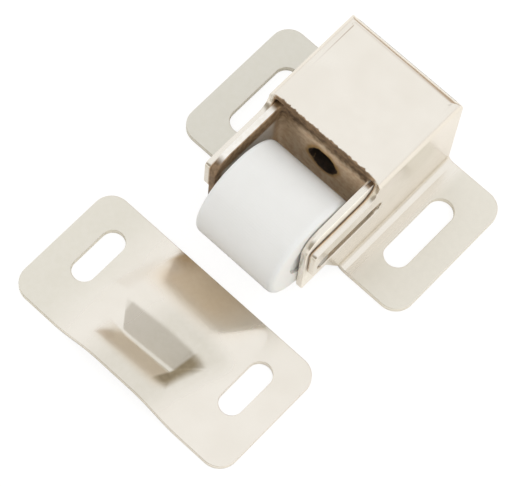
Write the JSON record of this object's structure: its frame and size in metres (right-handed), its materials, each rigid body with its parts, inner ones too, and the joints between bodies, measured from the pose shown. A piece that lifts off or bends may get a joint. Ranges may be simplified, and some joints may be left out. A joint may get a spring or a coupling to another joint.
{
  "type": "roller catch",
  "caption": "Sprung roller catch for a cabinet door: a folded plated housing with a sliding roller carrier, and a pressed strike plate with a ramp and pocket.",
  "frame": {"origin": "on the mounting surface, midway between the two screw slots of the catch", "axes": "+X along the axle, +Y the way the roller is pushed in, +Z away from the mounting surface"},
  "size_m": [0.04, 0.0538, 0.0182],
  "materials": {
    "nickel_plate": "satin nickel plating, warm white",
    "white_nylon": "moulded white nylon, soft sheen",
    "axle_steel": "drawn steel pin",
    "spring_steel": "bright spring wire"
  },
  "bodies": {
    "housing": {"housing": "nickel_plate", "strike_plate": "nickel_plate", "spring": "spring_steel"},
    "carrier": {"roller_carrier": "nickel_plate", "axle": "axle_steel"},
    "roller": {"roller": "white_nylon"}
  },
  "joints": [
    {"name": "carrier_slide", "type": "slide", "parent": "housing", "child": "carrier", "axis": [0, 1, 0], "range_m": [0, 0.005], "stiffness_N_per_m": 1280, "springref_m": -0.0015, "deforming": ["spring"]},
    {"name": "roller_spin", "type": "hinge", "parent": "carrier", "child": "roller", "pos_m": [0, -0.0151, 0.0102], "axis": [1, 0, 0], "continuous": true}
  ]
}
